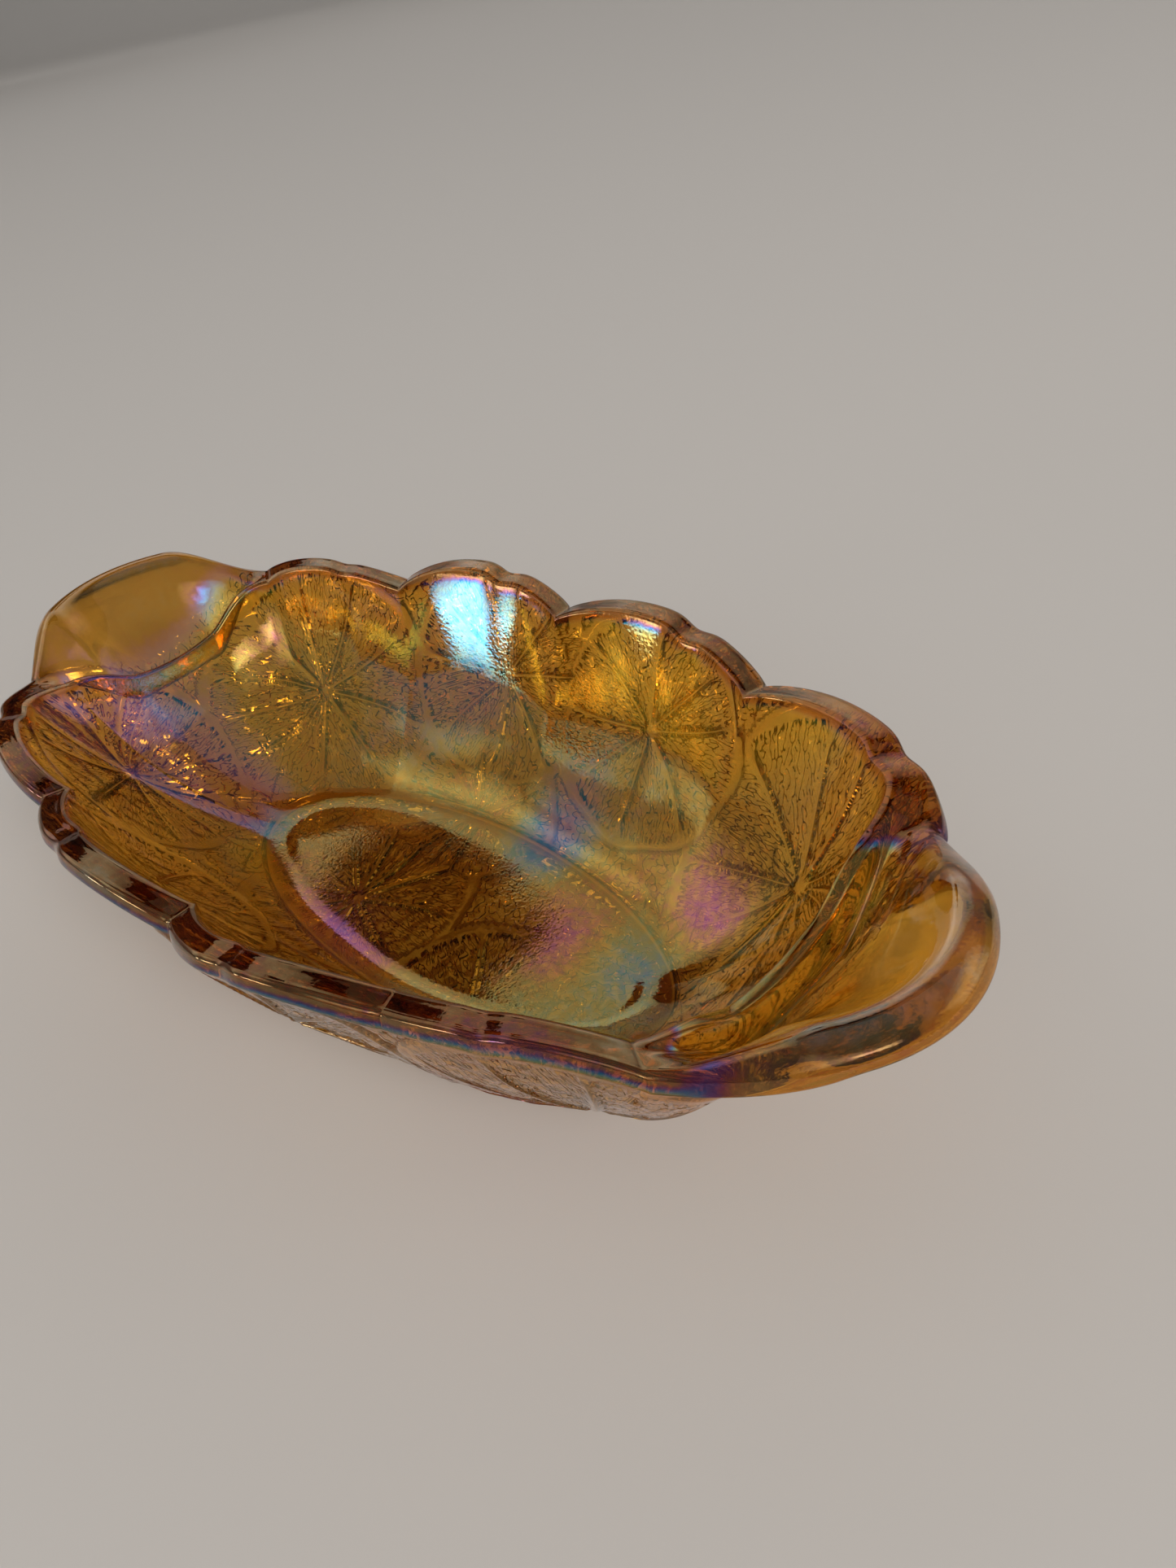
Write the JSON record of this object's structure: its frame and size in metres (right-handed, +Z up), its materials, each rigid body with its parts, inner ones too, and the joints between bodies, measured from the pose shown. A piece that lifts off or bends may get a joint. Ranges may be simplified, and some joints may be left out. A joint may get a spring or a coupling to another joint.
{
  "type": "relish dish",
  "caption": "Oval iridescent amber pressed-glass dish with a leaf-scalloped rim, leaf relief outside and a closed scoop handle at each end.",
  "frame": {"origin": "centre of the underside of the foot, on the surface that the dish stands on", "axes": "+X along the dish towards one handle, +Y across it, +Z up"},
  "size_m": [0.217, 0.1066, 0.0501],
  "materials": {
    "iridescent_glass": "gloss"
  },
  "bodies": {
    "root": {"bowl": "iridescent_glass", "foot": "iridescent_glass", "handle_right": "iridescent_glass", "handle_left": "iridescent_glass"}
  },
  "joints": []
}
